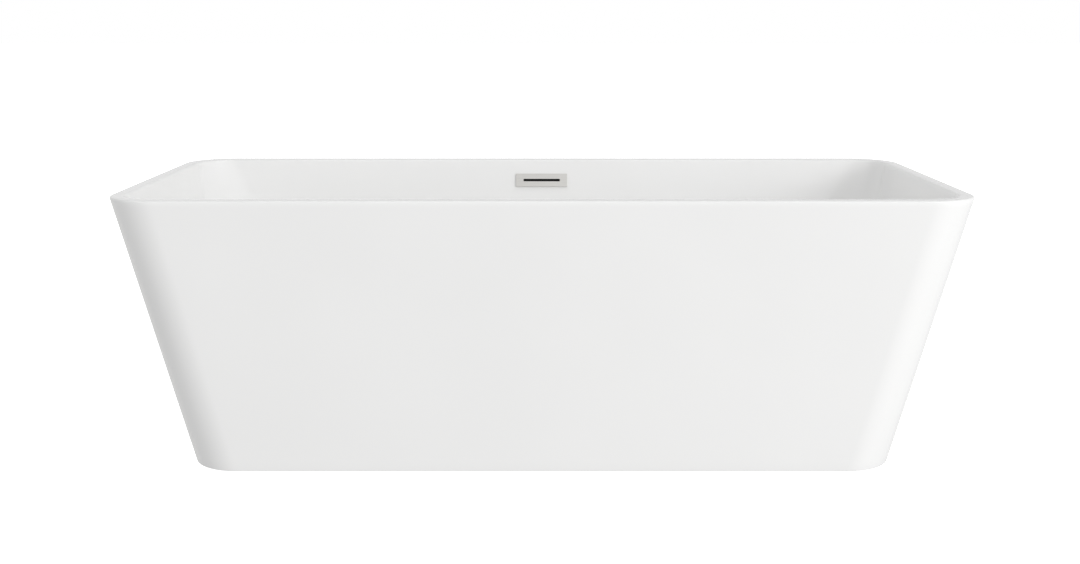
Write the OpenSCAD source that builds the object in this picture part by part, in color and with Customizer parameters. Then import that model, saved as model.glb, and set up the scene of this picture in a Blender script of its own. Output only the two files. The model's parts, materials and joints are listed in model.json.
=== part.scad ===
// Freestanding double-skinned bathtub: tapered rectangular apron, bonded basin, slotted
// overflow, toe-tap waste, and a steel base frame on five screw feet.
// Origin: centre of the footprint, on the floor. +X along the tub, +Y towards the overflow side.

/* [Tub] */
// Length over the rim
tub_length = 1700; // [1680:5:1720]
// Width over the rim
tub_width = 800; // [790:5:810]
// Height from the floor to the top of the rim
tub_height = 580; // [578:1:584]
// Length where the tapered apron would meet the floor
base_length = 1468; // [1460:2:1480]
// Width where the tapered apron would meet the floor
base_width = 556; // [550:2:562]
// Plan radius of the apron's upright corners
corner_radius = 105; // [100:1:110]
// Width of the rim, from outer face to inner wall
rim_width = 30; // [29:1:31]
// Height of the apron's lower edge above the floor
skirt_gap = 1; // [1:0.5:4]

/* [Basin] */
// Depth from the rim to the edge of the basin floor
inner_depth = 438; // [436:1:438]
// Fall of the floor towards the waste
floor_fall = 5; // [4:0.5:5]
// Radius between the walls and the floor
floor_radius = 80; // [75:1:85]
// Plan radius of the inner corners at the rim
inner_corner = 75; // [70:1:76]
// How fast that radius grows with depth
corner_growth = 0.33; // [0.3:0.01:0.34]

/* [Shells] */
// Thickness of the acrylic basin
basin_wall = 5; // [4.5:0.1:5]
// Thickness of the acrylic apron
apron_wall = 4; // [3.5:0.1:4]
// Thickness of the glass-fibre backing behind both
backing_wall = 3; // [2.5:0.1:3]

/* [Overflow] */
// Width of the cover plate
cover_width = 125; // [125:1:130]
// Height of the cover plate
cover_height = 32; // [31:0.5:35]
// Width of the slot in the cover
slot_width = 88; // [80:1:90]
// Height of the slot in the cover
slot_height = 5.8; // [5.8:0.1:7]
// Depth of the cover's centre below the rim
overflow_depth = 49.5; // [49:0.5:51]

/* [Waste] */
// How far the toe-tap plug rises when it opens
plug_travel = 9; // [7:0.5:9]
// Radius of the plug's cap
plug_radius = 31; // [30:0.5:32]
// Outside radius of the tailpiece that enters the floor connector
tailpiece_radius = 19.05; // [19:0.05:19.2]

/* [Frame and feet] */
// Side of the square steel tube
tube_side = 25; // [25:0.5:26]
// Half the distance between the two rails
rail_half_span = 140; // [138:1:142]
// How far a foot screws out from its stop against the lock nut
foot_travel = 20; // [14:1:20]

/* [Hidden] */
$fn = 64;
corner_steps = 10;
// Play between faces that meet, and the thickness of a bond line
slip = 0.05;
bond_gap = 0.2;
// How far a cutting shape passes the faces that it cuts
over = 1;

rim_half_x = tub_length / 2;
rim_half_y = tub_width / 2;
outer_round = 4;
end_taper = (tub_length - base_length) / 2 / (tub_height - outer_round);
side_taper = (tub_width - base_width) / 2 / (tub_height - outer_round);

// Basin walls: depth times a slope, plus depth squared times a curve
end_slope = 0.20;
end_curve = 0.00075;
side_slope = 0.28;
side_curve = 0.0001;
floor_start = inner_depth - floor_radius;
wall_depths = [25, 80, 135, 200, 270, floor_start];
floor_angles = [15, 30, 45, 60, 75, 90];

// Rim section, and the apron's flange that steps in below it
inner_round = 6;
rim_thick = basin_wall + 0.5;
lip_depth = 14;
seam = 0.5;
flange_top = 8;
flange_inset = basin_wall + 0.4;
joggle_start = lip_depth + 8;
joggle_end = lip_depth + 16;
skirt_round = 1.5;
backing_top = joggle_end + 2;
backing_low = tub_height - skirt_gap - 6;

// Levels, as heights above the floor
floor_edge_z = tub_height - inner_depth;
drain_z = floor_edge_z - floor_fall;
drain_ring = 60;
recess_depth = 4;
recess_floor = 4.5;
recess_play = 1;
basin_under_z = drain_z - recess_depth - recess_floor;
bed_thick = 3.5;
bed_z = basin_under_z - bed_thick;
board_thick = 15;
board_corner = 40;
board_z = bed_z - bond_gap - board_thick;
rail_z = board_z - tube_side;
tube_wall = 1.5;

board_half_x = 520;
board_half_y = 170;
board_hole = 50;
rail_half_x = 500;
crossbar_x = [-420, -160, 160, 420];
screw_x = [-330, -230, 230, 330];
screw_radius = 2.2;
screw_bite = 12;
hole_play = 0.3;
end_cap_thick = 3;
end_cap_plug = 14;
end_cap_play = 0.2;

// Screw heads: [radius, height]
board_head = [4.6, 2.8];
tie_head = [3.6, 2];

// Screw feet: [x, y] of each stud
feet = [[-460, -rail_half_span], [460, -rail_half_span], [460, rail_half_span],
        [-460, rail_half_span], [-160, 0]];
stud_radius = 6;
stud_play = 0.6;
stud_bottom = 4.1;
weld_nut = 10;
lock_nut = 6;
stud_top = rail_z + foot_travel + 1.5;
lock_nut_z = rail_z - weld_nut - lock_nut - 0.4;
collar_height = 8;
collar_z = lock_nut_z - 0.35 - collar_height;
hex_flats = 19;
hex_radius = hex_flats / 2 / cos(30);
pad_radius = 24;
pad_neck = 11;
pad_height = 17;
pad_socket = 4;

// Overflow, in a frame that lies on the basin's inner wall
wall_tilt = atan((wall_y(25) - wall_y(80)) / (80 - 25));
overflow_y = wall_y(25) - (overflow_depth - 25) * tan(wall_tilt);
overflow_z = tub_height - overflow_depth;
wall_stack = (basin_wall + bond_gap + backing_wall) * cos(wall_tilt);
cover_thick = 4;
cover_face = 1.8;
cover_edge = 3;
frame_inset = 4;
frame_thick = 1.8;
frame_wall = 3;
port_width = 98;
port_height = 20;
port_play = 1;
boss_x = 54;
cover_screw = 1.95;
cover_head = [2.15, 1.9];
gasket_thick = 2;
body_front = wall_stack + gasket_thick + 0.4;
body_depth = 11;
body_wall = 2;
body_half = boss_x + 6;
spigot_y = body_front + 10.4;
spigot_top = -84;
spigot_end = -122;
spigot_radius = 9;
spigot_bore = 7;

// Hose route in the plane x = 0, as [y, z] between the two spigots. The bore's flats clear them.
hose_sides = 12;
hose_radius = 12;
hose_bore = (spigot_radius + 0.1) / cos(180 / hose_sides);
hose_port_y = 36;
port_z = 64;
port_length = 62;
hose_route = [[327, 352], [314, 300], [300, 250], [285, 200], [268, 150], [246, 110],
              [212, 78], [165, 64], [110, 64]];
hose_steps = 3;
clamp_thick = 1;
clamp_width = 9;

// Waste and toe-tap plug
flange_radius = 35;
neck_radius = 24;
neck_bore = 21.5;
neck_bottom = drain_z - 39;
flange_thick = 3.4;
spoke_z = drain_z - 33;
spoke_height = 6;
spoke_width = 4;
hub_radius = 7;
hub_bore = 3;
seat_radius = 27;
seat_depth = 1.8;
seal_thick = 2;
cap_roof = 1.6;
cap_z = drain_z + 0.5 + plug_travel;
sleeve_bore = 6.6;
sleeve_radius = 8.5;
sleeve_bottom = drain_z - 15;
post_top = drain_z - 6;
spring_floor = drain_z - 25;
spring_radius = 3.9;
spring_wire = 0.55;
spring_turns = 7;
gasket_radius = 42;
waste_gasket = 3;
chamber_radius = 30;
chamber_bore = 21;
outlet_radius = 24;
outlet_bottom = 47;
nut_radius = 29;
nut_bottom = 40;
nut_height = 12;
tailpiece_bottom = 8;
tailpiece_wall = 1.6;
washer_thick = 3;

// Half sizes of the apron's outer face at depth d; it is widest where the rim's round ends
function apron_x(d) = rim_half_x - end_taper * max(d - outer_round, 0);
function apron_y(d) = rim_half_y - side_taper * max(d - outer_round, 0);

// Flat steel ties from the frame to the apron: [turn, place along X, start, reach, taper]
bracket_z = rail_z + 12;
tie_gap = 0.2;
bracket_depth = tub_height - bracket_z;
side_start = rail_half_span + tube_side / 2 + bond_gap;
end_start = crossbar_x[3] + tube_side / 2 + bond_gap;
side_reach = apron_y(bracket_depth) - apron_wall - backing_wall - 2 * bond_gap - tie_gap;
end_reach = apron_x(bracket_depth) - apron_wall - backing_wall - 2 * bond_gap - tie_gap;
brackets = [for (x = [-300, 300], turn = [-90, 90])
                [turn, x, side_start, side_reach, side_taper],
            for (turn = [0, 180]) [turn, 0, end_start, end_reach, end_taper]];
bracket_width = 30;
bracket_thick = 3;
tab_height = 45;
lug_height = 11;
tie_screw_length = bracket_thick + 6;
lug_hole_y = 9;
lug_hole_z = -6;
tie_screw = 2.1;

// ---- Shell profiles ----------------------------------------------------------------

function wall_x(d) = rim_half_x - rim_width - end_slope * d - end_curve * d * d;
function wall_y(d) = rim_half_y - rim_width - side_slope * d - side_curve * d * d;
function wall_r(d) = inner_corner + corner_growth * d;

// Rounded rectangle of half sizes hx and hy at height z, counter-clockwise from +X
function ring(hx, hy, r, z) = [
    for (c = [0:3], i = [0:corner_steps])
        let (a = 90 * (c + i / corner_steps),
             sx = (c == 0 || c == 3) ? 1 : -1,
             sy = c < 2 ? 1 : -1)
        [sx * (hx - r) + r * cos(a), sy * (hy - r) + r * sin(a), z]
];

// The apron's outer face at depth d, moved in by inset
function apron_ring(d, inset) = ring(apron_x(d) - inset, apron_y(d) - inset,
                                     corner_radius - inset, tub_height - d);

// The basin's inner wall at depth d, moved out by t
function wall_ring(d, t) = ring(wall_x(d) + t, wall_y(d) + t, wall_r(d) + t, tub_height - d);

// The curve between wall and floor: a is 0 on the wall and 90 on the floor
function floor_ring(a, t) =
    let (d = inner_depth - floor_radius * (1 - sin(a)),
         in = floor_radius * (1 - cos(a)) - t * cos(a))
    ring(wall_x(d) - in, wall_y(d) - in, wall_r(d) - in, tub_height - d - t * sin(a));

// The floor between its edge (s = 0) and the circle round the waste (s = 1)
function bed_ring(s, edge_z, centre_z) =
    let (d = inner_depth,
         hx = wall_x(d) - floor_radius,
         hy = wall_y(d) - floor_radius,
         r = wall_r(d) - floor_radius)
    ring(hx + s * (drain_ring - hx), hy + s * (drain_ring - hy), r + s * (drain_ring - r),
         edge_z + s * (centre_z - edge_z));

function backwards(list) = [for (i = [len(list) - 1:-1:0]) list[i]];

// Skin through rings of points. A looped skin joins its last ring to its first,
// and any other is closed by a flat cap at each end.
module skin(rings, looped = false) {
    n = len(rings[0]);
    m = len(rings);
    points = [for (r = rings) each r];
    walls = [
        for (j = [0:(looped ? m - 1 : m - 2)], i = [0:n - 1])
            let (k = (i + 1) % n, up = ((j + 1) % m) * n)
            each [[j * n + i, up + i, up + k], [j * n + i, up + k, j * n + k]]
    ];
    caps = looped ? [] : [[for (i = [0:n - 1]) i], [for (i = [n - 1:-1:0]) (m - 1) * n + i]];
    polyhedron(points = points, faces = concat(walls, caps), convexity = 10);
}

// ---- Small shapes ------------------------------------------------------------------

module tube(r_out, r_in, h) {
    difference() {
        cylinder(r = r_out, h = h);
        translate([0, 0, -over]) cylinder(r = r_in, h = h + 2 * over);
    }
}

// Plate of size x by y and thickness h, with round corners
module plate(x, y, r, h) {
    linear_extrude(height = h) union() {
        square([x - 2 * r, y], center = true);
        square([x, y - 2 * r], center = true);
        for (sx = [-1, 1], sy = [-1, 1])
            translate([sx * (x / 2 - r), sy * (y / 2 - r)]) circle(r = r);
    }
}

// Places children on the overflow: local Z up the wall, local Y out through it
module on_overflow() {
    translate([0, overflow_y, overflow_z]) rotate([-wall_tilt, 0, 0]) children();
}

// Stands a plate on the overflow wall, from local y to y + h
module wall_plate(x, z, r, y, h) {
    translate([0, y + h, 0]) rotate([90, 0, 0]) plate(x, z, r, h);
}

// Two screw holes through everything on the overflow wall
module wall_holes(r) {
    for (sx = [-1, 1])
        translate([sx * boss_x, -wall_stack, 0]) rotate([-90, 0, 0])
            cylinder(r = r, h = 2 * wall_stack + body_front + body_depth);
}

// The opening for the overflow's throat, with the two screw holes beside it
module port_opening(hole_radius) {
    wall_plate(port_width + 2 * port_play, port_height + 2 * port_play, 3, -wall_stack,
               3 * wall_stack);
    wall_holes(hole_radius);
}

// ---- Shells ------------------------------------------------------------------------

module basin() {
    t = basin_wall;
    under = concat(
        [bed_ring(1, 0, basin_under_z), bed_ring(0.5, floor_edge_z - t, basin_under_z)],
        [for (a = backwards(floor_angles)) floor_ring(a, t)],
        [for (d = backwards(wall_depths)) wall_ring(d, t)],
        [wall_ring(rim_thick, t)]);
    lip = [apron_ring(rim_thick, t), apron_ring(lip_depth, t), apron_ring(lip_depth, 0)];
    edge = [for (a = [0, 30, 60, 90])
        apron_ring(outer_round * (1 - sin(a)), outer_round * (1 - cos(a)))];
    inside = concat(
        [for (a = [90, 60, 30, 0]) wall_ring(inner_round * (1 - sin(a)), inner_round * (1 - cos(a)))],
        [for (d = wall_depths) wall_ring(d, 0)],
        [for (a = floor_angles) floor_ring(a, 0)],
        [bed_ring(0.5, floor_edge_z, drain_z), bed_ring(1, 0, drain_z)]);
    color("white") difference() {
        skin(concat(under, lip, edge, inside));
        translate([0, 0, drain_z - recess_depth])
            cylinder(r = flange_radius + recess_play, h = recess_depth + over);
        translate([0, 0, basin_under_z - over])
            cylinder(r = neck_radius + 1.5, h = recess_floor + 2 * over);
        on_overflow() port_opening(2.6);
    }
}

module basin_backing() {
    t_in = basin_wall + bond_gap;
    t_out = t_in + backing_wall;
    inside = concat(
        [for (d = wall_depths) wall_ring(d, t_in)],
        [for (a = floor_angles) floor_ring(a, t_in)],
        [bed_ring(0.5, floor_edge_z - t_in, basin_under_z - bond_gap),
         bed_ring(1, 0, basin_under_z - bond_gap)]);
    outside = concat(
        [bed_ring(0.6, bed_z, bed_z), bed_ring(0, bed_z, bed_z)],
        [for (i = [len(floor_angles) - 2:-1:0]) floor_ring(floor_angles[i], t_out)],
        [for (d = backwards(wall_depths)) wall_ring(d, t_out)]);
    color("tan") difference() {
        skin(concat(outside, inside));
        translate([0, 0, bed_z - over]) cylinder(r = neck_radius + 2, h = bed_thick + 2 * over);
        on_overflow() port_opening(2.6);
    }
}

module apron() {
    w = apron_wall;
    low = tub_height - skirt_gap;
    edge = [for (a = [0, 45, 90])
        apron_ring(low - skirt_round * (1 - cos(a)), skirt_round * (1 - sin(a)))];
    joggle = [apron_ring(lip_depth + seam, 0), apron_ring(lip_depth + seam, flange_inset),
              apron_ring(flange_top, flange_inset), apron_ring(flange_top, flange_inset + w),
              apron_ring(joggle_start, flange_inset + w), apron_ring(joggle_end, w)];
    color("white") skin(concat(edge, joggle, [apron_ring(low, w)]), looped = true);
}

module apron_backing() {
    in = apron_wall + bond_gap;
    out = in + backing_wall;
    color("tan") skin([apron_ring(backing_low, in), apron_ring(backing_top, in),
                       apron_ring(backing_top, out), apron_ring(backing_low, out)], looped = true);
}

// Structural adhesive between the apron's top flange and the underside of the rim
module rim_adhesive() {
    low = flange_top - slip;
    high = rim_thick + slip;
    color("gainsboro") skin([apron_ring(low, flange_inset), apron_ring(high, flange_inset),
                             apron_ring(high, flange_inset + apron_wall),
                             apron_ring(low, flange_inset + apron_wall)], looped = true);
}

// Polished filler in the joint line below the rim
module seam_filler() {
    low = lip_depth + seam - slip;
    high = lip_depth + slip;
    color("white") skin([apron_ring(low, 0.05), apron_ring(high, 0.05),
                         apron_ring(high, basin_wall - 0.5), apron_ring(low, basin_wall - 0.5)],
                        looped = true);
}

// ---- Base frame --------------------------------------------------------------------

module base_board() {
    color("burlywood") translate([0, 0, board_z]) difference() {
        plate(2 * board_half_x, 2 * board_half_y, board_corner, board_thick);
        translate([0, 0, -over]) cylinder(r = board_hole, h = board_thick + 2 * over);
        for (x = screw_x, sy = [-1, 1])
            translate([x, sy * rail_half_span, -over])
                cylinder(r = screw_radius + slip, h = screw_bite + 2 * over);
    }
}

// Square tube along X, centred on x = 0, with its lower face at z = 0
module square_tube(length) {
    difference() {
        translate([-length / 2, -tube_side / 2, 0]) cube([length, tube_side, tube_side]);
        translate([-length / 2 - over, -tube_side / 2 + tube_wall, tube_wall])
            cube([length + 2 * over, tube_side - 2 * tube_wall, tube_side - 2 * tube_wall]);
    }
}

// Holes in the tubes' lower walls that the studs pass through
module stud_holes() {
    for (f = feet)
        translate([f[0], f[1], rail_z - over])
            cylinder(r = stud_radius + stud_play, h = tube_wall + 2 * over);
}

module frame_rails() {
    color("silver") for (sy = [-1, 1])
        difference() {
            translate([0, sy * rail_half_span, rail_z]) square_tube(2 * rail_half_x);
            stud_holes();
            for (x = screw_x)
                translate([x, sy * rail_half_span, rail_z - over])
                    cylinder(r = screw_radius + hole_play, h = tube_side + 2 * over);
            for (b = brackets)
                on_bracket(b) tie_screw_holes(b, tie_screw + slip);
        }
}

module frame_crossbars() {
    length = 2 * rail_half_span - tube_side - 2 * bond_gap;
    color("silver") for (x = crossbar_x)
        difference() {
            translate([x, 0, rail_z]) rotate([0, 0, 90]) square_tube(length);
            stud_holes();
            for (b = brackets)
                on_bracket(b) tie_screw_holes(b, tie_screw + slip);
        }
}

module rail_end_caps() {
    plug = tube_side - 2 * tube_wall - 2 * end_cap_play;
    color("dimgray") for (sx = [-1, 1], sy = [-1, 1])
        translate([sx * (rail_half_x + slip), sy * rail_half_span, rail_z + tube_side / 2])
            mirror([sx < 0 ? 1 : 0, 0, 0]) union() {
                translate([0, -tube_side / 2, -tube_side / 2])
                    cube([end_cap_thick, tube_side, tube_side]);
                translate([-end_cap_plug, -plug / 2, -plug / 2])
                    cube([end_cap_plug + over, plug, plug]);
            }
}

// Pan-head screw pointing up, with the face under its head at z = 0
module screw(r, length, head) {
    union() {
        cylinder(r = r, h = length);
        translate([0, 0, -head[1]]) cylinder(r = head[0], h = head[1]);
    }
}

module board_screws() {
    color("lightgray") for (x = screw_x, sy = [-1, 1])
        translate([x, sy * rail_half_span, rail_z - slip])
            screw(screw_radius, tube_side + screw_bite, board_head);
}

// A strip bent twice: a lug against the tube, a level run, and a tab that leans with the apron
module tie(start, reach, taper) {
    top_x = reach + taper * tab_height;
    translate([0, bracket_width / 2, 0]) rotate([90, 0, 0]) linear_extrude(height = bracket_width)
        polygon([[start, -lug_height], [start + bracket_thick, -lug_height],
                 [start + bracket_thick, 0], [reach, 0], [top_x, tab_height],
                 [top_x - bracket_thick, tab_height],
                 [reach - bracket_thick * (1 - taper), bracket_thick],
                 [start, bracket_thick]]);
}

// Stands children at a tie's start, turned so that local X runs out to the apron
module on_bracket(b) {
    translate([b[1], 0, bracket_z]) rotate([0, 0, b[0]]) children();
}

// Holes for a tie's two screws, through its lug and the tube wall behind it
module tie_screw_holes(b, r) {
    for (sy = [-1, 1])
        translate([b[2] - bond_gap - tube_wall - over, sy * lug_hole_y, lug_hole_z])
            rotate([0, 90, 0]) cylinder(r = r, h = bracket_thick + bond_gap + tube_wall + 2 * over);
}

module skirt_brackets() {
    color("silver") for (b = brackets)
        on_bracket(b) difference() {
            tie(b[2], b[3], b[4]);
            tie_screw_holes(b, tie_screw + 0.1);
        }
}

module bracket_screws() {
    color("lightgray") for (b = brackets)
        on_bracket(b) for (sy = [-1, 1])
            translate([b[2] + bracket_thick + slip, sy * lug_hole_y, lug_hole_z])
                rotate([0, -90, 0]) screw(tie_screw, tie_screw_length, tie_head);
}

// ---- Screw feet --------------------------------------------------------------------

module hex_nut(height) {
    difference() {
        cylinder(r = hex_radius, h = height, $fn = 6);
        translate([0, 0, -over]) cylinder(r = stud_radius + slip, h = height + 2 * over);
    }
}

module foot_weld_nuts() {
    color("silver") for (f = feet)
        translate([f[0], f[1], rail_z - weld_nut - slip]) hex_nut(weld_nut);
}

module foot_lock_nuts() {
    color("silver") for (f = feet)
        translate([f[0], f[1], lock_nut_z]) hex_nut(lock_nut);
}

module foot_stud(i) {
    color("silver") translate([feet[i][0], feet[i][1], 0]) union() {
        translate([0, 0, stud_bottom]) cylinder(r = stud_radius, h = stud_top - stud_bottom);
        translate([0, 0, collar_z]) cylinder(r = hex_radius, h = collar_height, $fn = 6);
    }
}

module foot_pad(i) {
    color("dimgray") translate([feet[i][0], feet[i][1], 0]) difference() {
        rotate_extrude() polygon([[0, 0], [pad_radius - 1.5, 0], [pad_radius, 1.5],
                                  [pad_radius, 5], [pad_radius - 3, 8], [pad_neck + 2, 10],
                                  [pad_neck, pad_height], [0, pad_height]]);
        translate([0, 0, pad_socket]) cylinder(r = stud_radius + slip, h = pad_height);
    }
}

// ---- Overflow ----------------------------------------------------------------------

// The slot is cut level through the tilted plate
module cover_slot(x, z) {
    translate([-x / 2, overflow_y - 40, overflow_z - z / 2]) cube([x, 50, z]);
}

module overflow_cover() {
    color("silver") difference() {
        on_overflow() difference() {
            wall_plate(cover_width, cover_height, 1.5, -cover_thick, cover_thick - slip);
            wall_plate(cover_width - 2 * cover_edge, cover_height - 2 * cover_edge, 1,
                       cover_face - cover_thick, cover_thick);
        }
        cover_slot(slot_width, slot_height);
    }
}

module overflow_frame() {
    color("dimgray") on_overflow() difference() {
        union() {
            wall_plate(cover_width - 2 * frame_inset, cover_height - 2 * frame_inset, 1,
                       -frame_thick - 2 * slip, frame_thick);
            wall_plate(port_width, port_height, 2, -frame_thick / 2, wall_stack + gasket_thick);
        }
        wall_plate(port_width - 2 * frame_wall, port_height - 2 * frame_wall, 1, -wall_stack,
                   3 * wall_stack);
        wall_holes(2.2);
    }
}

module overflow_gasket() {
    color("dimgray") on_overflow() difference() {
        wall_plate(2 * body_half, port_height + 12, 5, wall_stack + bond_gap, gasket_thick);
        port_opening(2.4);
    }
}

// Block that is centred on x = 0, from local y and z, of size x by y by z
module block(size, y, z) {
    translate([-size[0] / 2, y, z]) cube(size);
}

module overflow_body() {
    w = body_wall;
    throat = 2 * spigot_radius + 5;
    waist_z = -62;
    waist = [throat + 16, body_depth, 6];
    hollow_waist = [throat, body_depth - 2 * w, 6];
    opening = port_width - 2 * frame_wall;
    color("dimgray") on_overflow() difference() {
        union() {
            hull() {
                block([2 * body_half, body_depth, 31], body_front, -15);
                block(waist, body_front, waist_z);
            }
            hull() {
                block(waist, body_front, waist_z);
                block([throat, body_depth + 10, 8], body_front, spigot_top - 8);
            }
            translate([0, spigot_y, spigot_end])
                cylinder(r = spigot_radius, h = spigot_top - spigot_end);
        }
        hull() {
            block([opening, body_depth - 2 * w, 24], body_front + w, -12);
            block(hollow_waist, body_front + w, waist_z - w);
        }
        hull() {
            block(hollow_waist, body_front + w, waist_z - w);
            block([2 * spigot_bore, body_depth + 5, 8], body_front + w + over, spigot_top - 6);
        }
        translate([0, spigot_y, spigot_end - over])
            cylinder(r = spigot_bore, h = spigot_top - spigot_end + 2 * over);
        block([opening, body_front + w + over, port_height - 2 * frame_wall], 0,
              frame_wall - port_height / 2);
        wall_holes(cover_screw + slip);
    }
}

module overflow_screws() {
    color("lightgray") on_overflow() for (sx = [-1, 1])
        translate([sx * boss_x, 0, 0]) rotate([-90, 0, 0]) union() {
            translate([0, 0, -3 * slip]) cylinder(r = cover_screw, h = wall_stack + 10);
            translate([0, 0, -3 * slip - cover_head[1]])
                cylinder(r = cover_head[0], h = cover_head[1]);
        }
}

// A point of the overflow's local frame as [y, z]
function overflow_point(y, z) = [
    overflow_y + y * cos(wall_tilt) + z * sin(wall_tilt),
    overflow_z - y * sin(wall_tilt) + z * cos(wall_tilt)];

// Catmull-Rom curve through a list of [y, z] points, with steps points to a span
function curve(p, steps) = concat(
    [for (i = [1:len(p) - 3], k = [0:steps - 1])
        let (t = k / steps)
        0.5 * (2 * p[i] + (p[i + 1] - p[i - 1]) * t
            + (2 * p[i - 1] - 5 * p[i] + 4 * p[i + 1] - p[i + 2]) * t * t
            + (3 * p[i] - p[i - 1] - 3 * p[i + 1] + p[i + 2]) * t * t * t)],
    [p[len(p) - 2]]);

// Rings of radius r round a path of [y, z] points in the plane x = 0
function hose_rings(path, r) = [
    for (i = [0:len(path) - 1])
        let (a = path[max(i - 1, 0)],
             b = path[min(i + 1, len(path) - 1)],
             d = (b - a) / norm(b - a))
        [for (k = [0:hose_sides - 1])
            let (u = 360 * k / hose_sides)
            [r * cos(u), path[i][0] - r * sin(u) * d[1], path[i][1] + r * sin(u) * d[0]]]
];

module overflow_hose() {
    top = overflow_point(spigot_y, spigot_top - 12);
    low = overflow_point(spigot_y, spigot_end);
    points = concat([top + (top - low), top, low], hose_route,
                    [[60, port_z], [hose_port_y, port_z], [0, port_z]]);
    path = curve(points, hose_steps);
    color("whitesmoke") skin(concat(backwards(hose_rings(path, hose_radius)),
                                    hose_rings(path, hose_bore)), looped = true);
}

// Worm-drive clamp: a band, the screw's housing and the screw's head
module hose_clamp() {
    band = hose_radius + 0.4;
    union() {
        tube(band + clamp_thick, band, clamp_width);
        translate([-5, band + clamp_thick / 2, 0.5]) cube([10, 5, clamp_width - 1]);
        translate([-9, band + 3, clamp_width / 2]) rotate([0, 90, 0]) cylinder(r = 2.6, h = 4.5);
    }
}

module hose_clamps() {
    color("silver") {
        on_overflow() translate([0, spigot_y, spigot_end + 12]) rotate([0, 0, 90]) hose_clamp();
        translate([0, hose_port_y + 6, port_z]) rotate([-90, 0, 0]) hose_clamp();
    }
}

// ---- Waste -------------------------------------------------------------------------

module drain_flange() {
    top = drain_z;
    color("silver") union() {
        rotate_extrude() polygon([[neck_bore, neck_bottom], [neck_radius, neck_bottom],
                                  [neck_radius, top - flange_thick],
                                  [flange_radius - 0.5, top - flange_thick],
                                  [flange_radius, top - flange_thick + 0.6],
                                  [flange_radius, top - 0.6], [flange_radius - 1, top],
                                  [seat_radius + 0.6, top], [seat_radius, top - seat_depth],
                                  [neck_bore + 1.5, top - seat_depth],
                                  [neck_bore, top - 2 * seat_depth]]);
        difference() {
            for (a = [0, 90])
                rotate([0, 0, a]) translate([-neck_bore - over, -spoke_width / 2, spoke_z])
                    cube([2 * (neck_bore + over), spoke_width, spoke_height]);
            translate([0, 0, spoke_z - over]) cylinder(r = hub_radius - 1, h = spoke_height + 2 * over);
        }
        translate([0, 0, spoke_z]) tube(hub_radius, hub_bore + slip, spoke_height);
    }
}

module flange_seal() {
    color("dimgray") translate([0, 0, drain_z - recess_depth + slip])
        tube(flange_radius - 1, neck_radius + hole_play, recess_depth - flange_thick - 2 * slip);
}

module drain_gasket() {
    color("dimgray") translate([0, 0, bed_z - slip - waste_gasket])
        tube(gasket_radius, neck_radius + hole_play, waste_gasket);
}

module waste_body() {
    top = bed_z - 2 * slip - waste_gasket;
    color("dimgray") difference() {
        union() {
            translate([0, 0, top - 4]) cylinder(r = gasket_radius, h = 4);
            translate([0, 0, outlet_bottom + 6])
                cylinder(r = chamber_radius, h = top - outlet_bottom - 8);
            translate([0, 0, outlet_bottom]) cylinder(r = outlet_radius, h = 10);
            translate([0, 0, port_z]) rotate([-90, 0, 0])
                cylinder(r = spigot_radius, h = port_length);
        }
        translate([0, 0, neck_bottom - 0.5])
            cylinder(r = neck_radius + slip, h = top - neck_bottom + 2 * over);
        translate([0, 0, outlet_bottom + 8]) cylinder(r = chamber_bore, h = top - outlet_bottom);
        translate([0, 0, outlet_bottom - over])
            cylinder(r = tailpiece_radius - 0.1, h = 20);
        translate([0, 0, port_z]) rotate([-90, 0, 0])
            cylinder(r = spigot_bore, h = port_length + over);
    }
}

module tailpiece() {
    color("silver") difference() {
        union() {
            translate([0, 0, tailpiece_bottom])
                cylinder(r = tailpiece_radius, h = nut_bottom - tailpiece_bottom - 1);
            translate([0, 0, tailpiece_bottom])
                cylinder(r = tailpiece_radius - 0.25, h = outlet_bottom + 8 - tailpiece_bottom);
        }
        translate([0, 0, tailpiece_bottom - over])
            cylinder(r = tailpiece_radius - tailpiece_wall, h = outlet_bottom + 8);
    }
}

module tailpiece_washer() {
    color("dimgray") translate([0, 0, outlet_bottom - slip - washer_thick])
        tube(outlet_radius, tailpiece_radius - 0.15, washer_thick);
}

module tailpiece_nut() {
    color("dimgray") translate([0, 0, nut_bottom]) difference() {
        union() {
            cylinder(r = nut_radius, h = nut_height);
            for (a = [0:45:315])
                rotate([0, 0, a]) translate([nut_radius - 2, -2.5, 0]) cube([4, 5, nut_height]);
        }
        translate([0, 0, -over]) cylinder(r = tailpiece_radius + 0.2, h = nut_height + 2 * over);
        translate([0, 0, outlet_bottom - nut_bottom - washer_thick - 2 * slip])
            cylinder(r = outlet_radius + slip, h = nut_height);
    }
}

// ---- Toe-tap plug ------------------------------------------------------------------

module plug_post() {
    base = spoke_z + spoke_height + slip;
    color("goldenrod") difference() {
        union() {
            translate([0, 0, spoke_z - 4]) cylinder(r = hub_bore, h = spoke_height + 5);
            translate([0, 0, base]) cylinder(r = sleeve_bore - slip, h = post_top - base);
        }
        translate([0, 0, spring_floor])
            cylinder(r = spring_radius + 0.9, h = post_top - spring_floor + over);
    }
}

// Coil of round wire between the post's floor and the sleeve's roof
module plug_spring() {
    low = spring_floor + spring_wire + slip;
    high = cap_z - cap_roof - spring_wire - slip;
    sides = 8;
    per_turn = 12;
    steps = spring_turns * per_turn;
    lead = atan((high - low) / (spring_turns * 2 * PI * spring_radius));
    coil = [for (i = [0:steps])
        let (a = 360 * i / per_turn, z = low + (high - low) * i / steps)
        [for (k = [0:sides - 1])
            let (u = 360 * k / sides,
                 out = spring_radius + spring_wire * cos(u),
                 up = spring_wire * sin(u))
            [out * cos(a) + up * sin(lead) * sin(a), out * sin(a) - up * sin(lead) * cos(a),
             z + up * cos(lead)]]];
    color("silver") skin(backwards(coil));
}

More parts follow.
